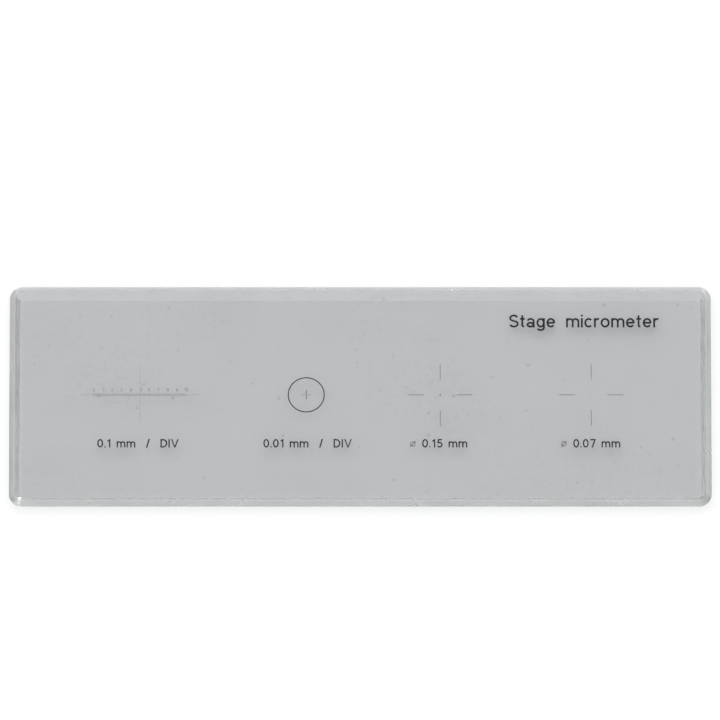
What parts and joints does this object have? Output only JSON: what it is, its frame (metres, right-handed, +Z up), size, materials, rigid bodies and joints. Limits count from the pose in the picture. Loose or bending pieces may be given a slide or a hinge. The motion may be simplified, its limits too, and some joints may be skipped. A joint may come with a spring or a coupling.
{
  "type": "stage micrometer slide",
  "caption": "Flat bevelled glass microscope slide with film targets on top: a ruler, a ringed fine cross scale, dot reticles and their legends.",
  "frame": {"origin": "centre of the underside of the glass plate, the face that lies on the microscope stage", "axes": "+X along the slide in the direction the ruler's numerals grow, +Y across it towards the title, +Z up out of the film side"},
  "size_m": [0.076, 0.025, 0.002],
  "materials": {
    "glass": "clear polished faces with a faint grey tint, fine-ground bevels and walls",
    "chromium_film": "dark anti-reflective chromium, satin"
  },
  "bodies": {
    "root": {"glass_plate": "glass", "fine_cross_scale": "chromium_film", "large_dot": "chromium_film", "large_dot_arm_back": "chromium_film", "large_dot_arm_front": "chromium_film", "large_dot_arm_left": "chromium_film", "large_dot_arm_right": "chromium_film", "large_dot_legend_1_diameter": "chromium_film", "large_dot_legend_2_zero": "chromium_film", "large_dot_legend_3_point": "chromium_film", "large_dot_legend_4_one": "chromium_film", "large_dot_legend_5_five": "chromium_film", "large_dot_legend_6_m": "chromium_film", "large_dot_legend_7_m": "chromium_film", "ring": "chromium_film", "ring_legend_10_V": "chromium_film", "ring_legend_1_zero": "chromium_film", "ring_legend_2_point": "chromium_film", "ring_legend_3_zero": "chromium_film", "ring_legend_4_one": "chromium_film", "ring_legend_5_m": "chromium_film", "ring_legend_6_m": "chromium_film", "ring_legend_7_slash": "chromium_film", "ring_legend_8_D": "chromium_film", "ring_legend_9_I": "chromium_film", "ruler": "chromium_film", "ruler_legend_1_zero": "chromium_film", "ruler_legend_2_point": "chromium_film", "ruler_legend_3_one": "chromium_film", "ruler_legend_4_m": "chromium_film", "ruler_legend_5_m": "chromium_film", "ruler_legend_6_slash": "chromium_film", "ruler_legend_7_D": "chromium_film", "ruler_legend_8_I": "chromium_film", "ruler_legend_9_V": "chromium_film", "ruler_numeral_0": "chromium_film", "ruler_numeral_1": "chromium_film", "ruler_numeral_10_one": "chromium_film", "ruler_numeral_10_zero": "chromium_film", "ruler_numeral_2": "chromium_film", "ruler_numeral_3": "chromium_film", "ruler_numeral_4": "chromium_film", "ruler_numeral_5": "chromium_film", "ruler_numeral_6": "chromium_film", "ruler_numeral_7": "chromium_film", "ruler_numeral_8": "chromium_film", "ruler_numeral_9": "chromium_film", "small_dot": "chromium_film", "small_dot_arm_back": "chromium_film", "small_dot_arm_front": "chromium_film", "small_dot_arm_left": "chromium_film", "small_dot_arm_right": "chromium_film", "small_dot_legend_1_diameter": "chromium_film", "small_dot_legend_2_zero": "chromium_film", "small_dot_legend_3_point": "chromium_film", "small_dot_legend_4_zero": "chromium_film", "small_dot_legend_5_seven": "chromium_film", "small_dot_legend_6_m": "chromium_film", "small_dot_legend_7_m": "chromium_film"}
  },
  "joints": []
}
